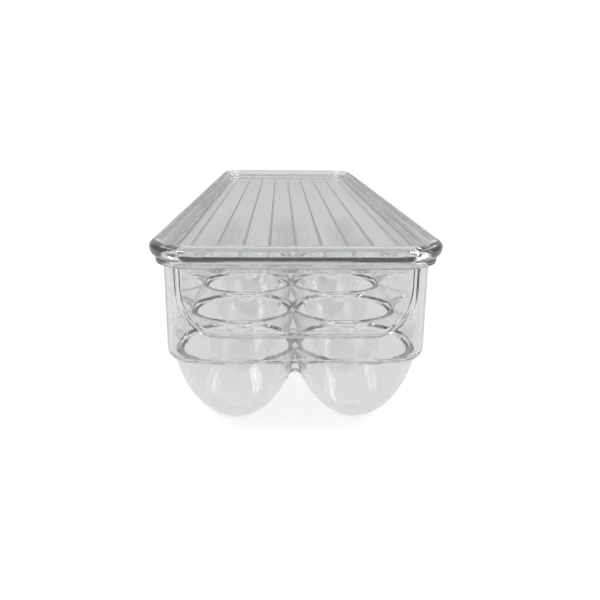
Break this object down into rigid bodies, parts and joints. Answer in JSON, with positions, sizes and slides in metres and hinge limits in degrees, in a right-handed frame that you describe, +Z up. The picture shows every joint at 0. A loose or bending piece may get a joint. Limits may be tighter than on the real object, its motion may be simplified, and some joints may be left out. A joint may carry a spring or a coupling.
{
  "type": "egg holder tray",
  "caption": "Long clear egg tray with two columns of round cups, a recessed grip end and a ribbed clear lid that lifts off.",
  "frame": {"origin": "on the surface that the cups stand on, under the middle of the outline seen from above", "axes": "+Z up; +Y along the length, away from the grip end; +X across, to the right when the grip end is faced"},
  "size_m": [0.1132, 0.3704, 0.0788],
  "materials": {
    "clear_tray": "clear moulded plastic, polished, colourless",
    "clear_lid": "clear moulded plastic, polished, very slightly cool grey"
  },
  "bodies": {
    "tray": {"tray": "clear_tray"},
    "lid": {"lid": "clear_lid"}
  },
  "joints": [
    {"name": "lid_lift", "type": "slide", "parent": "tray", "child": "lid", "axis": [0, 0, 1], "range_m": [0, 0.08]}
  ]
}
